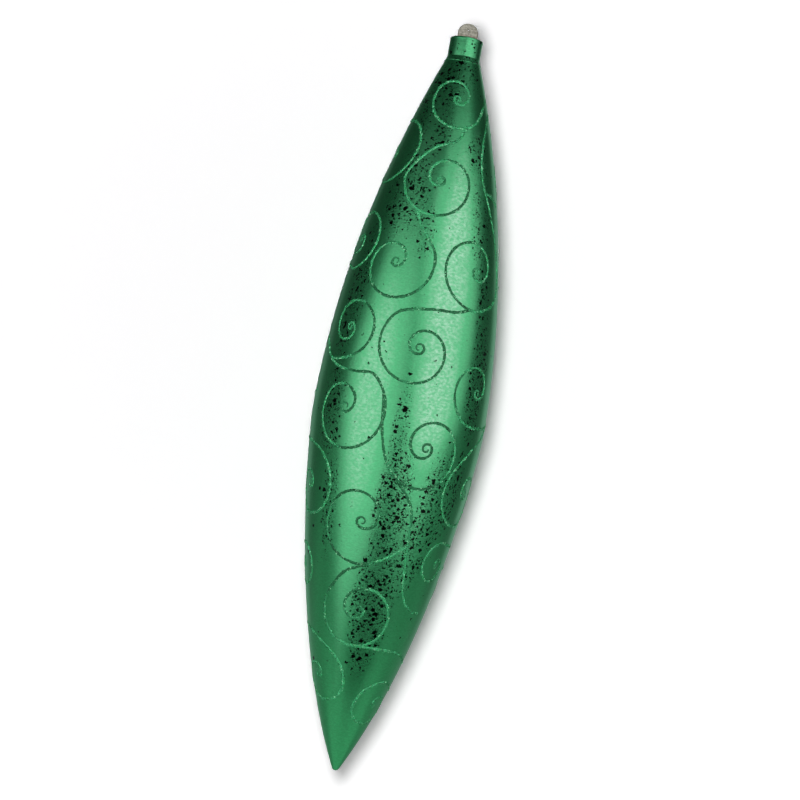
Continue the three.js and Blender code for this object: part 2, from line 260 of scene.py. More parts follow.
def math_node(tree, operation, *values, clamp=False):
    """The result of a Math node on up to three numbers."""
    node = add_node(tree, "ShaderNodeMath", {"operation": operation, "use_clamp": clamp})
    fill(tree, node.inputs, values)
    return node.outputs["Value"]


def vector_node(tree, operation, first, second, result="Vector"):
    """The result of a Vector Math node on two vectors."""
    node = add_node(tree, "ShaderNodeVectorMath", {"operation": operation})
    fill(tree, node.inputs, (first, second))
    return node.outputs[result]


def mixed(tree, share, first, second):
    """A colour that goes from the first to the second as the share goes from 0 to 1. A Mix node has its
    colours at its inputs 6 and 7 and its output 2."""
    node = add_node(tree, "ShaderNodeMix", {"data_type": "RGBA"})
    fill(tree, (node.inputs[0], node.inputs[6], node.inputs[7]), (share, first, second))
    return node.outputs[2]


def rise(tree, value, low, high):
    """0 at low, 1 at high, and smooth between them."""
    return add_node(
        tree, "ShaderNodeMapRange", {"interpolation_type": "SMOOTHSTEP"}, Value=value, From_Min=low,
        From_Max=high).outputs["Result"]


def object_place(tree):
    """Where a point is on its object, in metres."""
    return add_node(tree, "ShaderNodeTexCoord").outputs["Object"]


def noise(tree, place, scale, detail=2, squeeze=1):
    """A noise with a number of waves per metre, squeezed along Z by a factor over 1."""
    mapped = add_node(tree, "ShaderNodeMapping", Vector=place, Scale=(1, 1, squeeze)).outputs["Vector"]
    return add_node(tree, "ShaderNodeTexNoise", Vector=mapped, Scale=scale, Detail=detail).outputs["Fac"]


def blots(tree, place, scale, crowding, largest):
    """Sharp-edged blots on the cells of a Voronoi pattern: a cell has one where its own random number is
    under the crowding, and the blot reaches a random part of the largest radius from the cell's middle."""
    cells = add_node(tree, "ShaderNodeTexVoronoi", Vector=place, Scale=scale, Randomness=1)
    random = add_node(tree, "ShaderNodeSeparateColor", Color=cells.outputs["Color"])
    is_kept = math_node(tree, "LESS_THAN", random.outputs["Red"], crowding)
    smallest = SMALLEST_SPECK_SHARE * largest
    radius = math_node(tree, "MULTIPLY_ADD", random.outputs["Green"], largest - smallest, smallest)
    kept_radius = math_node(tree, "MULTIPLY", radius, is_kept)
    depth = math_node(tree, "SUBTRACT", kept_radius, cells.outputs["Distance"])
    return rise(tree, depth, 0, SPECK_EDGE)


def aged_plating_group():
    """Specks: three sizes of blots, roughened by a noise, crowded where the Density input and a coarse
    noise are high. Flecks: the Frosting input, a painted highlight, broken up by a noise.
    Tone: a fine noise with another squeezed along Z into level ripples, both stronger where the Density is
    high."""
    group, entry, leave = new_group(
        "aged plating", {"Density": 0.5, "Frosting": 0.5},
        {"Specks": "NodeSocketFloat", "Flecks": "NodeSocketFloat", "Tone": "NodeSocketFloat"})
    density, painted_sheen = entry.outputs["Density"], entry.outputs["Frosting"]
    place = object_place(group)
    clusters = rise(group, noise(group, place, CLUSTER_SCALE, squeeze=0.8), *CLUSTER_RISE)
    crowding = math_node(group, "MULTIPLY", density, clusters)
    ragged = add_node(group, "ShaderNodeTexNoise", Vector=place, Scale=RAGGED_SCALE, Detail=2)
    shift = vector_node(group, "MULTIPLY", ragged.outputs["Color"], [RAGGED_REACH] * 3)
    moved = vector_node(group, "ADD", place, shift)
    drawn = add_node(group, "ShaderNodeMapping", Vector=moved, Scale=(1, 1, 1.2)).outputs["Vector"]
    large, medium, small = (
        blots(group, drawn, scale, math_node(group, "MULTIPLY", crowding, share), largest)
        for scale, share, largest in SPECK_SIZES)
    specks = math_node(group, "MAXIMUM", large, math_node(group, "MAXIMUM", medium, small))
    cloud = rise(group, noise(group, place, CLOUD_SCALE, detail=3, squeeze=1.5), *CLOUD_RISE)
    sheen_flecks = math_node(group, "MULTIPLY_ADD", cloud, *FLECK_RANGE)
    fine = noise(group, place, FINE_SCALE, detail=1)
    ripple = math_node(
        group, "MULTIPLY", noise(group, place, RIPPLE_SCALE, squeeze=5), RIPPLE_SHARE)
    tone = rise(group, math_node(group, "MULTIPLY_ADD", fine, 1 - RIPPLE_SHARE, ripple), *TONE_RISE)
    swing = math_node(group, "MULTIPLY_ADD", density, *TONE_SWING)
    centred = math_node(group, "SUBTRACT", tone, 0.5)
    fill_named(
        group, leave, Specks=specks, Flecks=math_node(group, "MULTIPLY", sheen_flecks, painted_sheen),
        Tone=math_node(group, "MULTIPLY_ADD", centred, swing, 0.5, clamp=True))
    return group


AGED_PLATING = aged_plating_group()


def new_material(name):
    """A material, its node tree and its Principled shader."""
    material = bpy.data.materials.new(name)
    material.use_nodes = True
    return material, material.node_tree, material.node_tree.nodes["Principled BSDF"]


def kept_value(tree, name):
    """One of the values that set_values keeps for a piece's points."""
    return add_node(tree, "ShaderNodeAttribute", {"attribute_name": name}).outputs["Fac"]


def bumped(tree, height, strength, distance):
    """A normal bumped by a height, at a strength and over a distance in metres."""
    return add_node(
        tree, "ShaderNodeBump", Strength=strength, Distance=distance, Height=height).outputs["Normal"]


def plating_material(name):
    """Green metal under a thin clear coat, with glossy black specks, pale painted highlight and level
    ripples.
    """
    material, tree, shader = new_material(name)
    aged = add_node(
        tree, "ShaderNodeGroup", {"node_tree": AGED_PLATING}, Density=kept_value(tree, "speck_density"),
        Frosting=kept_value(tree, "painted_sheen"))
    specks, sheen_flecks, tone = (aged.outputs[label] for label in ("Specks", "Flecks", "Tone"))
    # The plate's colour with the pale painted highlight of the sheen flecks mixed in
    frosted = mixed(tree, sheen_flecks, mixed(tree, tone, PLATE_DEEP, PLATE_GREEN), PAINTED_SHEEN_PALE)
    smooth = math_node(tree, "MULTIPLY_ADD", sheen_flecks, -FLECK_GLOSS, PLATE_ROUGHNESS)
    relief = math_node(tree, "MULTIPLY_ADD", specks, -SPECK_PIT, tone)
    fill_named(
        tree, shader, Metallic=1, Coat_Roughness=COAT_ROUGHNESS,
        Base_Color=mixed(tree, specks, frosted, SPECK_BLACK),
        Roughness=math_node(tree, "MULTIPLY_ADD", specks, -SPECK_GLOSS, smooth, clamp=True),
        Coat_Weight=math_node(tree, "MULTIPLY_ADD", specks, -SPECK_COAT_LOSS, COAT_WEIGHT),
        Normal=bumped(tree, relief, RELIEF_STRENGTH, RELIEF_HEIGHT))
    return material


def band(value, centre, half_width, fade):
    """1 within half_width of a centre, falling to 0 over the fade beyond it."""
    return np.clip(1 - (np.abs(value - centre) - half_width) / fade, 0, 1)


def place_on_drop(points):
    """The degrees round from the front and the share of the drop's length of each point, with the back
    half read as the front's half turn."""
    x, y, z = points.T
    return (np.degrees(np.arctan2(x, -y)) + 90) % 180 - 90, (z - TIP) / DROP_LENGTH


def fullest_zone(points, zones, steepness):
    """The fullest of several round-edged zones at each point: a zone has its fullness up to where its
    squared distance leaves 1 over the steepness, and none at its own edge."""
    round_, share = place_on_drop(points)
    value = np.zeros(len(points))
    for centre, half_width, middle, half_height, fullness in zones:
        reach = ((round_ - centre) / half_width) ** 2 + ((share - middle) / half_height) ** 2
        value = np.maximum(value, fullness * np.clip(steepness * (1 - reach), 0, 1))
    return value


def speck_density(points):
    """How crowded the specks are: their zones over a thin scatter that leaves the lowest sixth bare."""
    scatter = SCATTER * band(place_on_drop(points)[1], *SCATTER_BAND)
    return np.maximum(scatter, fullest_zone(points, SPECK_ZONES, SPECK_ZONE_STEEPNESS))


def painted_sheen(points):
    """How strongly the pale painted highlight of the sheen flecks shows: most along the two bright fronts."""
    return LEAST_PAINTED_SHEEN + (1 - LEAST_PAINTED_SHEEN) * fullest_zone(points, PAINTED_SHEEN_ZONES, PAINTED_SHEEN_STEEPNESS)


def set_values(piece, name, values):
    """Keeps one value for each of a piece's points, as an attribute that its material reads."""
    attribute = piece.data.attributes.new(name, "FLOAT", "POINT")
    attribute.data.foreach_set("value", np.asarray(values, np.float32).ravel())


def mesh_points(piece):
    """A piece's points as rows of x, y and z in millimetres."""
    flat = np.empty(len(piece.data.vertices) * 3)
    piece.data.vertices.foreach_get("co", flat)
    return flat.reshape(-1, 3) / MILLIMETRE


def ring_line(places):
    """The drop's side with its moulded ring line: half a sine wave proud of the side between two heights
    a little below the shoulder."""
    share = np.clip((places[:, 1] - RING_FOOT) / RING_WIDTH, 0, 1)
    return places + np.column_stack([RING_PROUD * np.sin(np.pi * share), np.zeros(len(places))])


side = drop_side(SPAN_STEPS)
inner_side = inset(drop_side(INNER_SPAN_STEPS), SHELL_WALL)
inner_side = inner_side[inner_side[:, 1] < SHOULDER - 2 * SHELL_WALL]
neck = [[NECK_RADIUS, SHOULDER], [NECK_RADIUS, NECK_TOP], [NECK_BORE, NECK_TOP],
        [NECK_BORE, SHOULDER - SHELL_WALL]]
ring_places = np.linspace(RING_FOOT, RING_FOOT + RING_WIDTH, RING_PLACES)
ring = np.column_stack([np.interp(ring_places, side[:, 1], side[:, 0]), ring_places])
outer_side = np.concatenate([side, ring])
outer_side = ring_line(outer_side[np.argsort(outer_side[:, 1], kind="stable")])
shell = turned("plated_drop", np.concatenate([outer_side, neck, inner_side[::-1]]), DROP_ROUNDS)
set_values(shell, "speck_density", speck_density(mesh_points(shell)))
# The pale flecks are a painted highlight, strongest along the bright fronts
set_values(shell, "painted_sheen", painted_sheen(mesh_points(shell)))
plated_plastic = plating_material("plated plastic")
finish_piece(shell, "drop", "plated_plastic", plated_plastic, "shell")

# The scrollwork: glitter glue laid on the drop by hand in half-round strokes about 3 mm wide, thick with
# cut flakes of metallised film. Strokes that grow out of each other are one deposit of glue, bonded to
# the plating, and the back repeats the front by a half turn.
BEAD_WIDTH = 2.8
BEAD_HEIGHT = 0.55
BEAD_STEP = 1.6
BEAD_SIDES = 8
BEAD_SINK = 0.08
BEAD_BLUNTNESS = 0.2
WIDTH_WANDER = 0.1
HEIGHT_WANDER = 0.08
LOOSE_THINNING = 0.45
FLAKES_PER_MILLIMETRE = 4.2
FLAKE_SIDES = 6
FLAKE_RADII = [0.3, 0.52]
SMALLEST_FLAKE_SHARE = 0.4
FLAKE_DEPTH = 0.3
FLAKE_TILT = 46
FLAKE_LIFT = 0.02
# How far flakes stray across a line where it is tight and where it is loose, and how low they lie there
FLAKE_STRAYING = [0.13, 1]
LOOSE_SINKING = 0.8
CLUMP_LENGTH = 1.7
CLUMP_WEIGHT = 0.75
SCROLL_STEPS = 18
CURL_STEPS = 18
CURL_TURNS = 1
TIGHTNESS_SHARE = 0.14
CURL_SHARE = 0.045
CURVE_STEPS = 24
ROUND_PER_LENGTH = 479
# A stroke grows from a root, [an earlier stroke, the share of its run], through its stem's places, each
# [degrees round from the front, share of the drop's length], and winds into the scroll round its eye.
VINE_SHARES = {
    "crown_vine": [
        {"stem": [[74, 0.948], [55, 0.931], [34, 0.905]],
         "eye": [4, 0.936], "reach": 0.041, "sense": -1, "bearing": -85, "turns": 1.15, "width": 0.9},
        {"root": [0, 0.27], "stem": [[10, 0.877], [-15, 0.862]],
         "eye": [-1, 0.819], "reach": 0.051, "sense": 1, "bearing": 178, "turns": 1.3, "width": 1.2},
        {"root": [1, 0.45], "stem": [[-10, 0.755]],
         "eye": [-23, 0.701], "reach": 0.052, "sense": -1, "bearing": 22, "turns": 1.25, "width": 1.2},
    ],
    "trailing_vine": [
        {"stem": [[78, 0.93], [63, 0.912], [48, 0.874], [47, 0.83], [57, 0.797], [69, 0.75],
                  [75, 0.705], [69, 0.675]],
         "eye": [42, 0.706], "reach": 0.052, "sense": -1, "bearing": -70, "turns": 1.2, "width": 1.25},
        {"root": [0, 0.6], "stem": [[28, 0.648], [8, 0.645]],
         "eye": [5, 0.592], "reach": 0.055, "sense": 1, "bearing": 128, "turns": 1.45, "width": 1},
        {"root": [0, 0.22], "stem": [[63, 0.813], [77, 0.803]]},
    ],
    "belly_vine": [
        {"stem": [[-78, 0.59], [-57, 0.556], [-35, 0.548]],
         "eye": [-37, 0.5], "reach": 0.058, "sense": -1, "bearing": 58, "turns": 1.3, "width": 1.55},
        {"root": [0, 0.1], "stem": [[-50, 0.562]],
         "eye": [-48, 0.606], "reach": 0.041, "sense": 1, "bearing": -62, "turns": 1.35, "width": 1.25},
        {"root": [0, 0.35], "stem": [[-8, 0.468]],
         "eye": [21.5, 0.463], "reach": 0.0555, "sense": 1, "bearing": 212, "turns": 1.45, "width": 1},
        {"root": [2, 0.3], "stem": [[20, 0.382], [24, 0.335], [27, 0.3], [32, 0.266], [42, 0.246],
                                    [60, 0.238]]},
        {"root": [3, 0.45], "stem": [[10, 0.311]],
         "eye": [-13, 0.354], "reach": 0.057, "sense": -1, "bearing": -82, "turns": 1.08, "width": 1.15},
        {"root": [4, 0.1], "stem": [[-3, 0.299], [-22, 0.283]],
         "eye": [-5, 0.234], "reach": 0.051, "sense": 1, "bearing": 168, "turns": 1.5, "width": 1.15},
        {"root": [5, 0.47], "stem": [[28, 0.185], [58, 0.179], [82, 0.163]]},
    ],
    "flank_vine": [
        {"stem": [[104, 0.517], [89, 0.508], [72, 0.501]],
         "eye": [56, 0.547], "reach": 0.047, "sense": -1, "bearing": -80, "turns": 1.05, "width": 1.3},
        {"root": [0, 0.15], "stem": [[74, 0.487], [60, 0.466]],
         "eye": [70, 0.41], "reach": 0.054, "sense": 1, "bearing": 138, "turns": 1.4, "width": 0.95},
    ],
    "upper_curl": [
        {"stem": [[-92, 0.904]],
         "eye": [-75, 0.852], "reach": 0.05, "sense": -1, "bearing": 92, "turns": 1.15, "width": 1.5},
    ],
    "shoulder_curl": [
        {"stem": [[-92, 0.698]],
         "eye": [-70, 0.728], "reach": 0.043, "sense": 1, "bearing": -80, "turns": 1.5, "width": 1.25},
    ],
    "side_curl": [
        {"stem": [[-86, 0.45]],
         "eye": [-68, 0.39], "reach": 0.053, "sense": -1, "bearing": 75, "turns": 1.35, "width": 0.95},
    ],
    "lower_curl": [
        {"stem": [[-98, 0.302]],
         "eye": [-79, 0.277], "reach": 0.031, "sense": -1, "bearing": 80, "turns": 1.2, "width": 1.25},
    ],
    "small_curl": [
        {"stem": [[82, 0.334]],
         "eye": [60, 0.309], "reach": 0.031, "sense": 1, "bearing": 70, "turns": 1.2, "width": 1.25},
    ],
    "tail_curl": [
        {"stem": [[-84, 0.198], [-62, 0.191]],
         "eye": [-54, 0.136], "reach": 0.045, "sense": -1, "bearing": 62, "turns": 1.25, "width": 0.95},
    ],
    "toe_curl": [
        {"stem": [[86, 0.123], [74, 0.128]],
         "eye": [50, 0.105], "reach": 0.033, "sense": 1, "bearing": 62, "turns": 1.25, "width": 1.8},
    ],
}
GLUE_GREEN = (0.05, 0.36, 0.15, 1)
# The glue's colour where painted shade darkens it along the bright fronts
GLUE_PAINTED_SHADE = (0.012, 0.12, 0.045, 1)
GLUE_GRAIN_SCALE = 1500
GLUE_GRAIN_HEIGHT = 0.0003
FLAKE_GREEN = (0.14, 0.8, 0.37, 1)
# The flakes' dark colour: of dark flakes, and of painted shade along the bright fronts
FLAKE_DARK_AND_SHADED = (0.022, 0.17, 0.068, 1)
FLAKE_PALE = (0.38, 0.94, 0.53, 1)
# Flakes darken below one shade and pale above another, as [gain over the painted shade, start], each
# over a fade
DARK_SHADES = [0.54, 0.4]
DARK_FADE = 0.45
PALE_SHADES = [0.06, 0.58]
PALE_FADE = 0.1
FLAKE_ROUGHNESS = [0.2, 0.12]
# Painted shade on the glue and flakes, along the two bright fronts: [degrees round, share of the length]
PAINTED_SHADE_MIDDLES = [[19, 0.61], [-20, 0.47]]
PAINTED_SHADE_HALF_WIDTH = 15
PAINTED_SHADE_HALF_HEIGHT = 0.2
PAINTED_SHADE_FADES = [9, 0.1]

side_slope = np.gradient(side, axis=0)


def seat(angle, height):
    """Places on the drop at an angle round from the front and a height, and the ways out of the surface
    there: the side's slope turned square to it."""
    radius, run, climb = (np.interp(height, side[:, 1], column) for column in (
        side[:, 0], side_slope[:, 0], side_slope[:, 1]))
    level = np.stack([np.sin(angle), -np.cos(angle), np.zeros_like(angle)], axis=-1)
    points = level * radius[..., None]
    points[..., 2] = height
    out = level * climb[..., None]
    out[..., 2] = -run
    return points, unit(out)


def round_eye(stroke, reach, turns):
    """Angles and heights round a stroke's eye, at each reach from it and after each part of its turns."""
    bearing = np.radians(stroke["bearing"] + stroke["sense"] * 360 * turns)
    height = TIP + (stroke["eye"][1] + reach * np.sin(bearing)) * DROP_LENGTH
    girth = np.interp(height, side[:, 1], side[:, 0]) / BELLY_RADIUS
    return np.radians(stroke["eye"][0] + reach * ROUND_PER_LENGTH * np.cos(bearing) / girth), height


def stroke_places(stroke):
    """The places of one stroke: its stem, and its scroll, whose reach from the eye shrinks along half a
    cosine while its bearing turns evenly."""
    places = np.array(stroke["stem"], float)
    angle, height = np.radians(places[:, 0]), TIP + places[:, 1] * DROP_LENGTH
    if "eye" in stroke:
        run = np.linspace(0, 1, math.ceil(stroke["turns"] * SCROLL_STEPS))
        ease = (1 + np.cos(np.pi * run ** stroke["width"])) / 2
        reach = stroke["reach"] * (TIGHTNESS_SHARE + (1 - TIGHTNESS_SHARE) * ease)
        scroll_angle, scroll_height = round_eye(stroke, reach, stroke["turns"] * run)
        angle, height = np.append(angle, scroll_angle), np.append(height, scroll_height)
    return seat(angle, height)[0]


def curl_places(stroke):
    """The tight curl that a stroke's scroll runs out in: its reach shrinks evenly as it turns. A stroke
    with no scroll has none."""
    if "eye" not in stroke:
        return np.empty((0, 3))
    run = np.linspace(0, 1, CURL_STEPS)[1:]
    reach = stroke["reach"] * (TIGHTNESS_SHARE + (CURL_SHARE - TIGHTNESS_SHARE) * run)
    return seat(*round_eye(stroke, reach, stroke["turns"] + CURL_TURNS * run))[0]


def smooth_run(places, spacing):
    """A centripetal Catmull-Rom curve through the places, then points along it at an even spacing."""
    guarded = np.concatenate([[2 * places[0] - places[1]], places, [2 * places[-1] - places[-2]]])
    gap = np.sqrt(np.linalg.norm(np.diff(guarded, axis=0), axis=1))[:, None]
    before, here, there, after = (guarded[i:len(guarded) - 3 + i] for i in range(4))
    first, middle, last = gap[:-2], gap[1:-1], gap[2:]
    stride = (there - here) / middle
    leave = middle * ((here - before) / first - (there - before) / (first + middle) + stride)
    arrive = middle * (stride - (after - here) / (middle + last) + (after - there) / last)
    t = np.linspace(0, 1, CURVE_STEPS, endpoint=False)[None, :, None]
    here, there, leave, arrive = (values[:, None] for values in (here, there, leave, arrive))
    fine = (here + leave * t + (3 * (there - here) - 2 * leave - arrive) * t ** 2
            + (2 * (here - there) + leave + arrive) * t ** 3).reshape(-1, 3)
    fine = np.concatenate([fine, places[-1:]])
    reach = np.concatenate([[0], np.cumsum(np.linalg.norm(np.diff(fine, axis=0), axis=1))])
    even = np.linspace(0, reach[-1], max(3, round(reach[-1] / spacing)) + 1)
    return np.stack([np.interp(even, reach, column) for column in fine.T], axis=-1)


def wander(count, every, chance):
    """A smooth random run of values about 0: random knots, one for every few places, joined up."""
    knots = max(2, count // every + 2)
    return np.interp(np.linspace(0, knots - 1, count), np.arange(knots), chance.normal(size=knots))


def seated_frame(line):
    """A line's points seated on the drop, with the way out and the way across at each."""
    points, out = seat(np.arctan2(line[:, 0], -line[:, 1]), line[:, 2])
    along = np.gradient(points, axis=0)
    along = unit(along - out * np.sum(along * out, axis=1)[:, None])
    return points, out, np.cross(along, out)


def looseness(line, trunk):
    """How loosely the glitter lies along a line: 0 as far as its trunk goes, then rising evenly to 1 at
    the end of its curl."""
    past = np.arange(len(line)) - len(trunk) + 1
    return np.clip(past / max(1, len(line) - len(trunk)), 0, 1)


def bead_shape(line, loose, chance):
    """The half width and the height of a bead along its line: full, unsteady by a few percent, thinner
    where it is loose, and rounded off over its own width at both ends."""
    count = len(line)
    from_end = np.minimum(np.arange(count), np.arange(count)[::-1]) * BEAD_STEP
    reach = np.clip((from_end + BEAD_BLUNTNESS) / (BEAD_WIDTH / 2), 0, 1)
    fullness = np.sqrt(1 - (1 - reach) ** 2) * (1 - LOOSE_THINNING * loose)
    half_width = BEAD_WIDTH / 2 * (1 + WIDTH_WANDER * wander(count, 2, chance)) * fullness
    swell = np.clip(1 + HEIGHT_WANDER * wander(count, 2, chance), 0, 1 + HEIGHT_WANDER)
    return half_width, BEAD_HEIGHT * swell * fullness


def bead_mesh(line, half_width, height):
    """A half ellipse carried along the seated line, its foot a little below the plating, closed by a flat
    underside and a face at each end."""
    points, out, across = seated_frame(line)
    turn = np.linspace(0, np.pi, BEAD_SIDES)
    rings = (points[:, None] - BEAD_SINK * out[:, None]
             + across[:, None] * (half_width[:, None] * np.cos(turn))[..., None]
             + out[:, None] * (height[:, None] * np.sin(turn))[..., None])
    faces = grid_faces(len(points), BEAD_SIDES, closed_columns=True)[:, ::-1].tolist()
    last = (len(points) - 1) * BEAD_SIDES
    caps = [list(range(BEAD_SIDES)), list(range(last, last + BEAD_SIDES))[::-1]]
    return rings.reshape(-1, 3), faces + caps


def clumped(weight, clump, draw):
    """Random rows for the flakes: a clump's own draw, weighed in with one for each flake."""
    return weight * draw(clump.max() + 1)[clump] + (1 - weight) * draw(len(clump))


def flake_mesh(line, loose, half_width, height, chance):
    """Six-sided flakes strewn over a bead: each centred on the half ellipse, strayed across by chance,
    farther where it is loose, and tipped at random from its face, with its back drawn to a point in the
    glue. Flakes of one clump share most of tilt and shade."""
    points, out, across = seated_frame(line)
    count = int(len(line) * BEAD_STEP * FLAKES_PER_MILLIMETRE)
    place = chance.uniform(0, len(line) - 1.001, count)
    low = place.astype(int)
    part = (place - low)[:, None]
    centre, way_out, way_across = (
        values[low] * (1 - part) + values[low + 1] * part for values in (points, out, across))
    wide, high, slack = (
        np.interp(place, np.arange(len(line)), values)[:, None] for values in (half_width, height, loose))
    turn = chance.uniform(0.1, np.pi - 0.1, count)[:, None]
    face = unit(way_across * np.cos(turn) * high + way_out * np.sin(turn) * wide)
    strayed = np.interp(slack, [0, 1], FLAKE_STRAYING) * chance.normal(size=(count, 1))
    centre = centre + way_across * (wide * np.cos(turn) + strayed)
    centre += way_out * (high * np.sin(turn) * (1 - LOOSE_SINKING * slack) - BEAD_SINK)
    clump = (place * BEAD_STEP / CLUMP_LENGTH).astype(int) * 2 + (turn[:, 0] > np.pi / 2)
    tilt = clumped(CLUMP_WEIGHT, clump, lambda rows: chance.normal(size=(rows, 3)))
    shade = clumped(CLUMP_WEIGHT, clump, lambda rows: chance.uniform(size=rows))
    face = unit(face + np.tan(np.radians(FLAKE_TILT)) * tilt / math.sqrt(3))
    side_way = unit(np.cross(face, chance.normal(size=(count, 3))))
    other_way = np.cross(face, side_way)
    corner = np.arange(FLAKE_SIDES) * 2 * np.pi / FLAKE_SIDES
    size = chance.uniform(*FLAKE_RADII, count)[:, None] * np.clip(high / BEAD_HEIGHT, SMALLEST_FLAKE_SHARE, 1)
    rim = (centre + FLAKE_LIFT * face)[:, None] + size[:, None] * (
        side_way[:, None] * np.cos(corner)[:, None] + other_way[:, None] * np.sin(corner)[:, None])
    back = (centre - FLAKE_DEPTH * face)[:, None]
    vertices = np.concatenate([rim, back], axis=1).reshape(-1, 3)
    start = np.arange(count)[:, None] * (FLAKE_SIDES + 1)
    top = start + np.arange(FLAKE_SIDES)
    tip = np.broadcast_to(start + FLAKE_SIDES, top.shape)
    sides = np.stack([np.roll(top, -1, axis=1), top, tip], axis=-1)
    faces = top.tolist() + sides.reshape(-1, 3).tolist()
    return vertices, faces, np.repeat(shade, FLAKE_SIDES + 1)


def painted_glue_shade(points):
    """The painted shade on the glue and flakes: 1 along the two bright fronts left and right of the seam,
    the left one lower, and 0 past the fades."""
    round_, share = place_on_drop(points)
    round_fade, share_fade = PAINTED_SHADE_FADES
    return np.max([
        band(round_, middle_round, PAINTED_SHADE_HALF_WIDTH, round_fade)
        * band(share, middle_share, PAINTED_SHADE_HALF_HEIGHT, share_fade)
        for middle_round, middle_share in PAINTED_SHADE_MIDDLES], axis=0)


def glue_material():
    """A green gel with tiny grains, darker by painted_glue_shade, a painted shade along the bright fronts."""
    material, tree, shader = new_material("glitter glue")
    grains = noise(tree, object_place(tree), GLUE_GRAIN_SCALE, detail=1)
    fill_named(
        tree, shader, Roughness=0.35, Metallic=0.3, Normal=bumped(tree, grains, 0.7, GLUE_GRAIN_HEIGHT),
        Base_Color=mixed(tree, kept_value(tree, "painted_glue_shade"), GLUE_GREEN, GLUE_PAINTED_SHADE))
    return material


def flake_material():
    """Green metallised film, each flake with its own flake_shade: low ones are dark, and more of them by
    painted_glue_shade, a painted shade along the bright fronts, and the highest are pale."""
    material, tree, shader = new_material("glitter flakes")
    shade, depth = kept_value(tree, "flake_shade"), kept_value(tree, "painted_glue_shade")
    # depth is the painted shade along the bright fronts
    dark_from = math_node(tree, "MULTIPLY_ADD", depth, *DARK_SHADES)
    dark = rise(tree, math_node(tree, "SUBTRACT", dark_from, shade), 0, DARK_FADE)
    pale_from = math_node(tree, "MULTIPLY_ADD", depth, *PALE_SHADES)
    pale = rise(tree, math_node(tree, "SUBTRACT", shade, pale_from), 0, PALE_FADE)
    fill_named(
        tree, shader, Metallic=1, Roughness=math_node(tree, "MULTIPLY_ADD", shade, *FLAKE_ROUGHNESS),
        Base_Color=mixed(tree, pale, mixed(tree, dark, FLAKE_GREEN, FLAKE_DARK_AND_SHADED), FLAKE_PALE))
    return material


def stack_meshes(parts):
    """Several (points, faces) as one, with the corner numbers moved on."""
    points, faces, start = [], [], 0
    for part_points, part_faces in parts:
        points.append(part_points)
        faces += [[start + corner for corner in face] for face in part_faces]
        start += len(part_points)
    return np.concatenate(points), faces


glue, flakes = glue_material(), flake_material()
chance = np.random.default_rng(11)
half_turn = np.array([-1, -1, 1])
for vine, strokes in VINE_SHARES.items():
    trunks, lines = [], []
    for stroke in strokes:
        places = stroke_places(stroke)
        if "root" in stroke:
            parent, root_share = stroke["root"]
            root = trunks[parent][round(root_share * (len(trunks[parent]) - 1))]
            places = np.concatenate([[root], places])
        trunks.append(smooth_run(places, BEAD_STEP))
        lines.append(smooth_run(np.concatenate([places, curl_places(stroke)]), BEAD_STEP))
    slacks = [looseness(line, trunk) for line, trunk in zip(lines, trunks)]
    for face in ("front", "back"):
        shapes = [bead_shape(line, slack, chance) for line, slack in zip(lines, slacks)]
        beads = stack_meshes([bead_mesh(line, *shape) for line, shape in zip(lines, shapes)])
        strewn = [
            flake_mesh(line, slack, *shape, chance) for line, slack, shape in zip(lines, slacks, shapes)]
        points, faces = stack_meshes([beads] + [part[:2] for part in strewn])
        shades = np.concatenate([np.zeros(len(beads[0]))] + [part[2] for part in strewn])
        if face == "back":
            points = points * half_turn
        piece = add_mesh(f"glitter_{vine}_{face}", points, faces, 50)
        set_values(piece, "flake_shade", shades)
        # Painted shade on the glue and flakes along the bright fronts
        set_values(piece, "painted_glue_shade", painted_glue_shade(points))
        piece.data.materials.append(glue)
        finish_piece(piece, "drop", "glitter_glue", flakes, f"{vine}_{face}")
        is_flake = np.arange(len(faces)) >= len(beads[1])
        piece.data.polygons.foreach_set("material_index", is_flake.astype(np.int32))

# The collar: a separate plated cap that slides over the neck, with a rolled rim round its top and a hole
# there for the hanger. It is plated and aged like the drop, but carries few specks.
COLLAR_RADIUS = 17.2
COLLAR_WALL = 1.4
COLLAR_TOP_THICKNESS = 1.6
RIM_HEIGHT = 2.4
RIM_PROUD = 0.35
HANGER_HOLE = 2.9
COLLAR_ROUNDS = 192
COLLAR_FOOT = SHOULDER + 0.3
RIM_TOP_ROUND = 0.9
RIM_FOOT_ROUND = 0.2
FOOT_ROUND = 0.4
EDGE_ROUND = 0.3
COLLAR_SPECKS = 0.16
COLLAR_PAINTED_SHEEN = 0.05


def rounded_corner(corner, before, after, radius, steps=5):
    """A quarter-like turn round a profile's corner: a quadratic curve between the places a radius away
    along its two sides."""
    corner, before, after = (np.array(p, float) for p in (corner, before, after))
    start = corner + radius * (before - corner) / np.linalg.norm(before - corner)
    end = corner + radius * (after - corner) / np.linalg.norm(after - corner)
    t = np.linspace(0, 1, steps)[:, None]
    return (1 - t) ** 2 * start + 2 * t * (1 - t) * corner + t ** 2 * end


def rounded_profile(corners):
    """A closed profile of (radius, height), with each corner rounded by its own third number."""
    places, roundings = np.array(corners)[:, :2], np.array(corners)[:, 2]
    after = np.roll(places, -1, axis=0)
    turns = [
        rounded_corner(place, places[i - 1], after[i], roundings[i]) for i, place in enumerate(places)]
    return np.concatenate(turns + [turns[0][:1]])


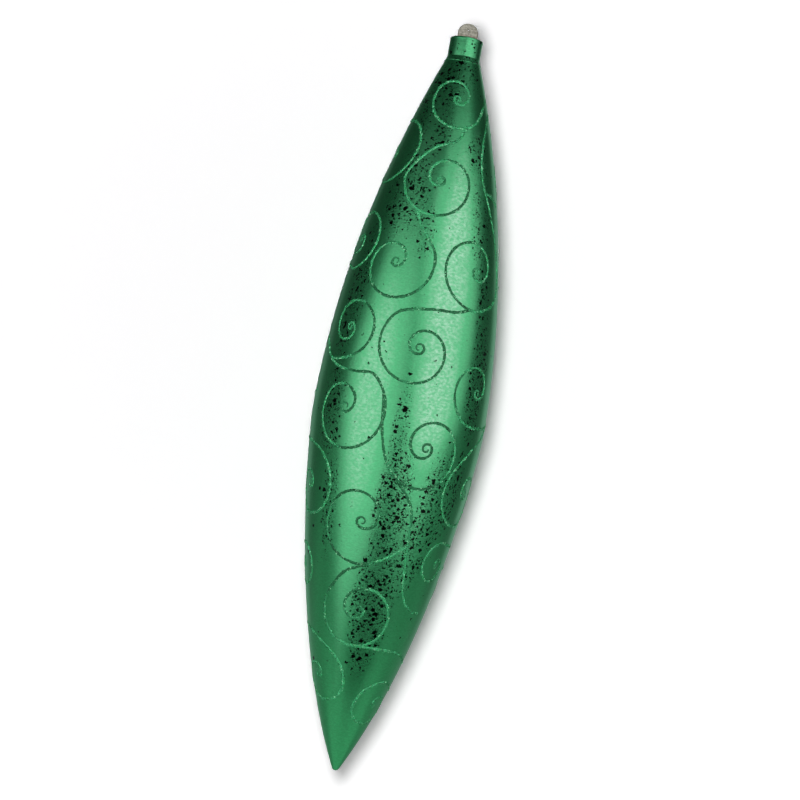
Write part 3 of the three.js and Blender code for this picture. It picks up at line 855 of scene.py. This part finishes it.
rim_radius = COLLAR_RADIUS + RIM_PROUD
rim_foot = COLLAR_TOP - RIM_HEIGHT
collar_bore = COLLAR_RADIUS - COLLAR_WALL
ceiling = COLLAR_TOP - COLLAR_TOP_THICKNESS
collar_profile = rounded_profile([
    [collar_bore, COLLAR_FOOT, EDGE_ROUND], [COLLAR_RADIUS, COLLAR_FOOT, FOOT_ROUND],
    [COLLAR_RADIUS, rim_foot, EDGE_ROUND], [rim_radius, rim_foot + RIM_PROUD, RIM_FOOT_ROUND],
    [rim_radius, COLLAR_TOP, RIM_TOP_ROUND], [HANGER_HOLE, COLLAR_TOP, EDGE_ROUND],
    [HANGER_HOLE, ceiling, EDGE_ROUND], [collar_bore, ceiling, EDGE_ROUND]])
collar = turned("plated_cap", collar_profile, COLLAR_ROUNDS, 50)
set_values(collar, "speck_density", np.full(len(collar.data.vertices), COLLAR_SPECKS))
# A faint, even painted sheen of pale flecks on the collar
set_values(collar, "painted_sheen", np.full(len(collar.data.vertices), COLLAR_PAINTED_SHEEN))
plated_collar = plating_material("plated collar")
finish_piece(collar, "collar", "plated_collar", plated_collar, "collar")

# The hanger: one moulding in frosted clear plastic, with a half-round tab to hang by, a flange that sits
# on the collar, and a slotted stem whose barb snaps through the collar's hole.
TAB_WIDTH = 21.6
TAB_THICKNESS = 3.2
TAB_RIM = 1.5
TAB_WEB = 2
TAB_TOP = 7
RIM_SLOPE = 0.35
RIM_BEVEL = 0.15
TAB_EDGE = 0.3
TAB_BEVELS = [0.35, 0.9]
EYE_RADIUS = 0.9
EYE_BOSS_WALL = 1.3
EYE_BEVEL = 0.25
BOSS_BEVEL = 0.2
BOSS_SLOPE = 0.1
FLANGE_RADIUS = 6.5
FLANGE_THICKNESS = 1.4
FLANGE_BEVEL = 0.3
STEM_RADIUS = 2.6
STEM_ROUNDS = 64
BARB_RADIUS = 3.9
BARB_HEIGHT = 3.4
SLOT_WIDTH = 1.2
SLOT_OVERCUT = 1
SEAT_GAP = 0.3
TAB_STEPS = 96
# The heights, in metres, over which the warm tint fades in downwards
WARM_HEIGHTS = [-0.004, -0.0095]
FLOW_SCALE = 380
FLOW_RISE = [0.25, 0.75]
GRAIN_SCALE = 2600
GRAIN_HEIGHT = 0.0002
GRAIN_ROUGHNESS = [0.3, 0.35]
FROSTED_DARK = (0.15, 0.145, 0.115, 1)
FROSTED_LIGHT = (0.42, 0.4, 0.34, 1)
FROSTED_WARM = (0.36, 0.2, 0.15, 1)

flange_foot = COLLAR_TOP + SEAT_GAP
flange_top = flange_foot + FLANGE_THICKNESS
tab_foot = flange_foot + FLANGE_THICKNESS / 2
catch_top = COLLAR_TOP - COLLAR_TOP_THICKNESS - SEAT_GAP
barb_foot = catch_top - BARB_HEIGHT


def tab_loop(inset_by, foot, steps):
    """Places round the tab's outline, drawn in by an inset, evenly spread over its two sides and half
    round: up the right side, over the top, down the left and back along the foot."""
    half = TAB_WIDTH / 2 - inset_by
    spring = TAB_TOP - TAB_WIDTH / 2
    turn = np.linspace(0, np.pi, steps // 2)
    arch = np.column_stack([half * np.cos(turn), spring + half * np.sin(turn)])
    climb = np.linspace(foot, spring, steps // 8, endpoint=False)
    up = np.column_stack([np.full_like(climb, half), climb])
    down = np.column_stack([np.full_like(climb, -half), climb[::-1]])
    back = np.linspace(-half, half, steps - len(arch) - 2 * len(climb) + 2)[1:-1]
    return np.concatenate([up, arch, down, np.column_stack([back, np.full_like(back, foot)])])


def tab_shell():
    """The tab as loops that run from the eye at the front, out over the web, the rim's slope and the
    rounded edge, and back the same way behind: each loop blends between a circle round the eye and the
    tab's outline, at its own depth."""
    outer = tab_loop(0, tab_foot, TAB_STEPS)
    near = tab_loop(TAB_EDGE, tab_foot + TAB_EDGE, TAB_STEPS)
    pocket = tab_loop(TAB_RIM, flange_top + TAB_RIM, TAB_STEPS)
    lip = tab_loop(TAB_RIM - RIM_SLOPE, flange_top + TAB_RIM - RIM_SLOPE, TAB_STEPS)
    bearing = np.arctan2(pocket[:, 1], pocket[:, 0])
    around = np.column_stack([np.cos(bearing), np.sin(bearing)])
    eye, boss = EYE_RADIUS * around, (EYE_RADIUS + EYE_BOSS_WALL) * around
    face, web = TAB_THICKNESS / 2, TAB_WEB / 2
    near_bevel, outer_bevel = TAB_BEVELS
    front = [
        (eye, face - EYE_BEVEL), (eye + EYE_BEVEL * around, face), (boss - BOSS_BEVEL * around, face),
        (boss, face - BOSS_BEVEL), (boss + BOSS_SLOPE * around, web), ((boss + pocket) / 2, web),
        (pocket, web), (lip, face - RIM_BEVEL), ((lip + near) / 2, face), (near, face - near_bevel),
        (outer, face - outer_bevel)]
    loops = [(place, -depth) for place, depth in front] + [(place, depth) for place, depth in front[::-1]]
    points = np.stack([
        np.column_stack([place[:, 0], np.full(len(place), depth), place[:, 1]]) for place, depth in loops])
    return points.reshape(-1, 3), grid_faces(len(loops), TAB_STEPS, closed_rows=True, closed_columns=True)


def stem_profile():
    """The flange, the stem and the barb as a profile from the axis at the foot to the axis at the top."""
    return np.array([
        [0, barb_foot], [STEM_RADIUS, barb_foot], [BARB_RADIUS, catch_top - BARB_HEIGHT / 3],
        [BARB_RADIUS, catch_top], [STEM_RADIUS, catch_top], [STEM_RADIUS, flange_foot],
        [FLANGE_RADIUS, flange_foot], [FLANGE_RADIUS, flange_top - FLANGE_BEVEL],
        [FLANGE_RADIUS - FLANGE_BEVEL, flange_top], [0, flange_top]])


def frosted_material():
    """Cloudy moulded plastic: a grey beige with faint flow marks, warmer near the collar, and a finer
    grain in its gloss."""
    material, tree, shader = new_material("frosted plastic")
    place = object_place(tree)
    flow = rise(tree, noise(tree, place, FLOW_SCALE, detail=3, squeeze=2.2), *FLOW_RISE)
    height = add_node(tree, "ShaderNodeSeparateXYZ", Vector=place).outputs["Z"]
    warmth = math_node(tree, "MULTIPLY", rise(tree, height, *WARM_HEIGHTS), flow)
    grain = noise(tree, place, GRAIN_SCALE)
    fill_named(
        tree, shader, Specular_IOR_Level=0.4, Normal=bumped(tree, grain, 0.25, GRAIN_HEIGHT),
        Base_Color=mixed(tree, warmth, mixed(tree, flow, FROSTED_DARK, FROSTED_LIGHT), FROSTED_WARM),
        Roughness=math_node(tree, "MULTIPLY_ADD", grain, *GRAIN_ROUGHNESS))
    return material


def stem_mesh():
    """The turned stem with the slot between the barb's legs cut by a box."""
    stem = turned("hanger_stem", stem_profile(), STEM_ROUNDS, 30)
    reach = BARB_RADIUS + SLOT_OVERCUT
    slot_points = np.array([
        [x, y, z] for x in (-SLOT_WIDTH / 2, SLOT_WIDTH / 2) for y in (-reach, reach)
        for z in (barb_foot - SLOT_OVERCUT, flange_foot)])
    slot_faces = [[0, 1, 3, 2], [4, 6, 7, 5], [0, 4, 5, 1], [2, 3, 7, 6], [0, 2, 6, 4], [1, 5, 7, 3]]
    slot = add_mesh("slot_cutter", slot_points, slot_faces)
    cut = stem.modifiers.new("slot", "BOOLEAN")
    cut.operation = "DIFFERENCE"
    cut.solver = "EXACT"
    cut.object = slot
    graph = bpy.context.evaluated_depsgraph_get()
    cut_mesh = bpy.data.meshes.new_from_object(stem.evaluated_get(graph))
    stem.modifiers.clear()
    stem.data = cut_mesh
    bpy.data.objects.remove(slot)
    return stem


tab_points, tab_faces = tab_shell()
tab = add_mesh("hanging_tab", tab_points, tab_faces.tolist(), 50)
stem = stem_mesh()
frosted_plastic = frosted_material()
finish_piece(tab, "hanger", "frosted_tab", frosted_plastic, "hanger")
finish_piece(stem, "hanger", "frosted_tab", frosted_plastic, "hanger")

# The studio: a white sheet hung right behind the ornament, lit by one round soft lamp. Only the plating
# sees the rest: bent cloths, some lit and some dark, two dark cards by the sheet and a dark room. Sizes
# here are in metres.
SHEET_DISTANCE = 0.1
SHEET_HALF_SIZE = 6
SHEET_GLOW = 0.11
SHEET_GLOW_GROWTH = 0.9
SHEET_MIDDLE = (-0.1, SHEET_DISTANCE, -0.31)
LAMP_DISTANCE = 1.35
LAMP_SHIFT = (-0.081, 0.101)
LAMP_WIDTH = 0.27
LAMP_POWER = 19.6
WORLD_GLOW = 0.04
CARD_DISTANCE = 0.097
CARD_OPENING_SHARE = 1.06
CARD_ROW_STEP = 8
CARD_TOP = 0.002
ROOM_RADIUS = 4
ROOM_SEGMENTS = 48
CLOTH_COLUMNS = 33
CLOTH_ROWS = 41
CLOTH_FADE = 16
WHITE = (1, 1, 1, 1)
SHEET_WHITE = (0.9, 0.89, 0.9, 1)
WALL_GREEN = (0.62, 1, 0.82, 1)
CAMERA_PLACE = (-0.0019, -1.688, -0.3965)
CAMERA_ROLL = math.radians(10.23)
CAMERA_LENS = 72
CAMERA_SENSOR = 36
# How the cards' edge strips, the dark cards and the dark room glow, as [height, glow] from the foot up
LEFT_STRIP_GLOWS = [[-0.8, 0.36], [-0.55, 0.35], [-0.4, 0.28], [-0.3, 0.18], [0.3, 0.16]]
RIGHT_STRIP_GLOWS = [[-0.8, 0.24], [-0.65, 0.3], [-0.5, 0.42], [-0.3, 0.42], [0.3, 0.4]]
CARD_GLOWS = [
    [-1.2, 0.31], [-0.74, 0.27], [-0.62, 0.17], [-0.5, 0.11], [-0.3, 0.085], [-0.15, 0.06], [0.3, 0.05]]
STRIP_WIDTHS = [0.085, 0.11]
ROOM_GLOWS = [
    [-3.6, 0.48], [-3.2, 0.52], [-2.9, 0.43], [-2.4, 0.31], [-2, 0.2], [-1.2, 0.135], [0, 0.115],
    [1.5, 0.07], [4, 0.04]]
# The bent cloths: a distance, and rows of [height, left azimuth, right azimuth, glow] from the foot up
BENT_CLOTHS = {
    "right_diffuser": (1, [
        [-1.15, 32, 60, 0], [-0.97, 27, 67, 0.24], [-0.85, 12, 69, 0.82], [-0.73, 2, 72, 1.08],
        [-0.6, 3, 77, 1.12], [-0.38, -6, 88, 1.04], [-0.26, -19, 92, 1.01], [-0.14, -25, 95, 1.01],
        [0.2, -28, 95, 1.04], [0.45, -20, 85, 1.09], [0.6, -10, 70, 0.98], [0.8, -2, 67, 0.26],
        [1.05, 2, 66, 0.07], [1.2, 10, 60, 0]]),
    "left_diffuser": (0.985, [
        [-1.5, -60, -34, 0.24], [-1.25, -64, -24, 0.5], [-1.08, -66, -13, 0.8], [-0.97, -67, -3, 0.98],
        [-0.84, -70, 4, 1.13], [-0.73, -76, 7, 1.1], [-0.55, -81, 7, 1.04], [-0.38, -84, 8, 1.04],
        [-0.25, -84, 5, 1.04], [-0.1, -78, 2, 1.08], [0.05, -73, -1, 1.01], [0.16, -71, -4, 0.8],
        [0.3, -68, -8, 0.28], [0.45, -60, -10, 0]]),
    "dark_flag": (0.97, [
        [-1.7, -6, 20, 0.1], [-1.55, -18, 36, 0.04], [-1.4, -26, 44, 0.02], [-1.24, -25, 55, 0.02],
        [-1.1, -16, 54, 0.02], [-0.98, 2, 40, 0.03], [-0.9, 12, 24, 0.04]]),
    "collar_flag": (0.3, [[0, -82, 0, 0.2], [0.08, -82, 0, 0.2]]),
    "collar_side_flag": (0.3, [[0, 62, 98, 0.16], [0.08, 62, 98, 0.16]]),
}


def add_stage(name, points, faces, material):
    """A piece of the studio, in metres, which isn't part of the ornament."""
    mesh = bpy.data.meshes.new(name)
    mesh.from_pydata(points, [], faces)
    mesh.materials.append(material)
    piece = add_object(name, mesh)
    return piece


def show_in_reflections_only(piece):
    """Hides a piece from the camera and from every ray but the ones that mirror it."""
    piece.visible_camera = False
    piece.visible_diffuse = False
    piece.visible_shadow = False
    piece.visible_transmission = False


def emptied_material(name):
    """A material with nothing in its tree but an output, as the material, the tree and that output."""
    material, tree, _ = new_material(name)
    tree.nodes.clear()
    return material, tree, add_node(tree, "ShaderNodeOutputMaterial")


def height_glow_material(name, glows):
    """A glow that follows the height: straight between the given [height, glow] pairs."""
    material, tree, output = emptied_material(name)
    height = add_node(tree, "ShaderNodeSeparateXYZ", Vector=object_place(tree)).outputs["Z"]
    low, high = glows[0][0], glows[-1][0]
    spread = add_node(tree, "ShaderNodeMapRange", Value=height, From_Min=low, From_Max=high)
    ramp = add_node(tree, "ShaderNodeValToRGB", Fac=spread.outputs["Result"])
    while len(ramp.color_ramp.elements) < len(glows):
        ramp.color_ramp.elements.new(0.5)
    for element, (level, glow) in zip(ramp.color_ramp.elements, glows):
        element.position = (level - low) / (high - low)
        element.color = (glow * WALL_GREEN[0], glow * WALL_GREEN[1], glow * WALL_GREEN[2], 1)
    light = add_node(tree, "ShaderNodeEmission", Color=ramp.outputs["Color"])
    fill_named(tree, output, Surface=light.outputs["Emission"])
    return material


def point_glow_material(name, colour):
    """A glow of one colour, as strong as the glow that set_values keeps for a piece's points."""
    material, tree, output = emptied_material(name)
    light = add_node(tree, "ShaderNodeEmission", Color=colour, Strength=kept_value(tree, "glow"))
    fill_named(tree, output, Surface=light.outputs["Emission"])
    return material


def bent_cloth(name, distance, rows):
    """A cloth bent round the ornament at a distance, as a grid that follows rows of [height, left
    azimuth, right azimuth, glow]. The glow fades smoothly to both sides: by 3f^2 - 2f^3."""
    across, level = np.meshgrid(
        np.linspace(0, 1, CLOTH_COLUMNS), np.linspace(rows[0][0], rows[-1][0], CLOTH_ROWS))
    left, right, glow = (np.interp(level, *np.transpose(rows)[[0, i]]) for i in (1, 2, 3))
    azimuth = np.radians(left * (1 - across) + right * across)
    points = np.stack([distance * np.sin(azimuth), -distance * np.cos(azimuth), level], axis=-1)
    cloth = add_stage(
        name, points.reshape(-1, 3).tolist(), grid_faces(*level.shape).tolist(),
        point_glow_material(name, WHITE))
    fade = np.clip(np.minimum(across, 1 - across) * (right - left) / CLOTH_FADE, 0, 1)
    set_values(cloth, "glow", glow * fade * fade * (3 - 2 * fade))
    show_in_reflections_only(cloth)


def sheet_lamp():
    """The round soft lamp in front of the ornament, shifted right and up in the rolled picture, which
    throws a soft shadow of the ornament on the sheet."""
    data = bpy.data.lights.new("sheet_lamp", "AREA")
    data.shape = "DISK"
    data.size = LAMP_WIDTH
    data.energy = LAMP_POWER
    lamp = add_object("sheet_lamp", data)
    right, up = LAMP_SHIFT
    cos, sin = math.cos(CAMERA_ROLL), math.sin(CAMERA_ROLL)
    lamp.location = (
        CAMERA_PLACE[0] + right * cos - up * sin, -LAMP_DISTANCE, CAMERA_PLACE[2] + right * sin + up * cos)
    lamp.rotation_euler = (math.pi / 2, 0, 0)
    lamp.visible_camera = False
    lamp.visible_glossy = False


def plainly_seen(tree):
    """1 for the rays of the camera, of reflections and of clear plastic, and 0 for light."""
    rays = add_node(tree, "ShaderNodeLightPath").outputs
    seen = math_node(tree, "MAXIMUM", rays["Is Camera Ray"], rays["Is Glossy Ray"])
    return math_node(tree, "MAXIMUM", seen, rays["Is Transmission Ray"])


def sheet_material():
    """White cloth seen from the front only. Where it is plainly seen it also glows a little, more by the
    square of the distance from the picture's middle, to make up what the lamp loses there."""
    material, tree, output = emptied_material("white sheet")
    cloth = add_node(tree, "ShaderNodeBsdfDiffuse", Color=SHEET_WHITE).outputs["BSDF"]
    away = vector_node(tree, "SUBTRACT", object_place(tree), SHEET_MIDDLE)
    square = vector_node(tree, "DOT_PRODUCT", away, away, result="Value")
    strength = math_node(tree, "MULTIPLY_ADD", square, SHEET_GLOW_GROWTH, SHEET_GLOW)
    strength = math_node(tree, "MULTIPLY", plainly_seen(tree), math_node(tree, "MINIMUM", strength, 1))
    glow = add_node(tree, "ShaderNodeEmission", Strength=strength).outputs["Emission"]
    lit = add_node(tree, "ShaderNodeAddShader")
    fill(tree, lit.inputs, (cloth, glow))
    back = add_node(tree, "ShaderNodeNewGeometry").outputs["Backfacing"]
    clear = add_node(tree, "ShaderNodeBsdfTransparent").outputs["BSDF"]
    shader = add_node(tree, "ShaderNodeMixShader")
    fill(tree, shader.inputs, (back, lit.outputs[0], clear))
    fill_named(tree, output, Surface=shader.outputs[0])
    return material


def dark_card(name, sign, strip_glows):
    """A dark card beside the ornament: its inner edge keeps just outside the drop's side, a paler strip
    runs along that edge, and the rest is dark. Both glow by the height."""
    rows = side[::CARD_ROW_STEP] * MILLIMETRE
    height = np.concatenate(
        [[-SHEET_HALF_SIZE, TIP * MILLIMETRE], rows[:, 1], [CARD_TOP, SHEET_HALF_SIZE]])
    edge = CARD_OPENING_SHARE * np.concatenate([[0, 0], rows[:, 0], [0, 0]])
    across = np.stack(
        [edge] + [edge + width for width in STRIP_WIDTHS] + [np.full_like(edge, SHEET_HALF_SIZE)], axis=-1)
    level = np.broadcast_to(height[:, None], across.shape)
    points = np.stack([sign * across, np.full_like(across, CARD_DISTANCE), level], axis=-1)
    card = add_stage(
        name, points.reshape(-1, 3).tolist(), grid_faces(*across.shape).tolist(),
        point_glow_material(name, WALL_GREEN))
    strip, dark = (np.interp(height, *np.transpose(glows)) for glows in (strip_glows, CARD_GLOWS))
    set_values(card, "glow", np.stack([strip, strip, dark, dark], axis=-1))
    show_in_reflections_only(card)


sheet_corners = [
    (x * SHEET_HALF_SIZE, SHEET_DISTANCE, z * SHEET_HALF_SIZE)
    for x, z in ((-1, -1), (1, -1), (1, 1), (-1, 1))]
add_stage("white_sheet", sheet_corners, [[0, 1, 2, 3]], sheet_material())
dark_card("left_card", -1, LEFT_STRIP_GLOWS)
dark_card("right_card", 1, RIGHT_STRIP_GLOWS)

ball = bmesh.new()
bmesh.ops.create_uvsphere(
    ball, u_segments=ROOM_SEGMENTS, v_segments=ROOM_SEGMENTS // 2, radius=ROOM_RADIUS)
room_mesh = bpy.data.meshes.new("dark_room")
ball.to_mesh(room_mesh)
ball.free()
room_mesh.materials.append(height_glow_material("dark room", ROOM_GLOWS))
dark_room = add_object("dark_room", room_mesh)
show_in_reflections_only(dark_room)

for cloth_name, (cloth_distance, cloth_rows) in BENT_CLOTHS.items():
    bent_cloth(cloth_name, cloth_distance, cloth_rows)
sheet_lamp()

world = bpy.data.worlds.new("studio")
world.use_nodes = True
world_strength = math_node(world.node_tree, "MAXIMUM", plainly_seen(world.node_tree), WORLD_GLOW)
fill_named(
    world.node_tree, world.node_tree.nodes["Background"], Color=WHITE, Strength=world_strength)
bpy.context.scene.world = world

camera_data = bpy.data.cameras.new("camera")
camera_data.lens = CAMERA_LENS
camera_data.sensor_width = CAMERA_SENSOR
camera = add_object("camera", camera_data)
camera.location = CAMERA_PLACE
camera.rotation_euler = (math.pi / 2, -CAMERA_ROLL, 0)
bpy.context.scene.camera = camera
bpy.context.scene.view_settings.view_transform = "Standard"
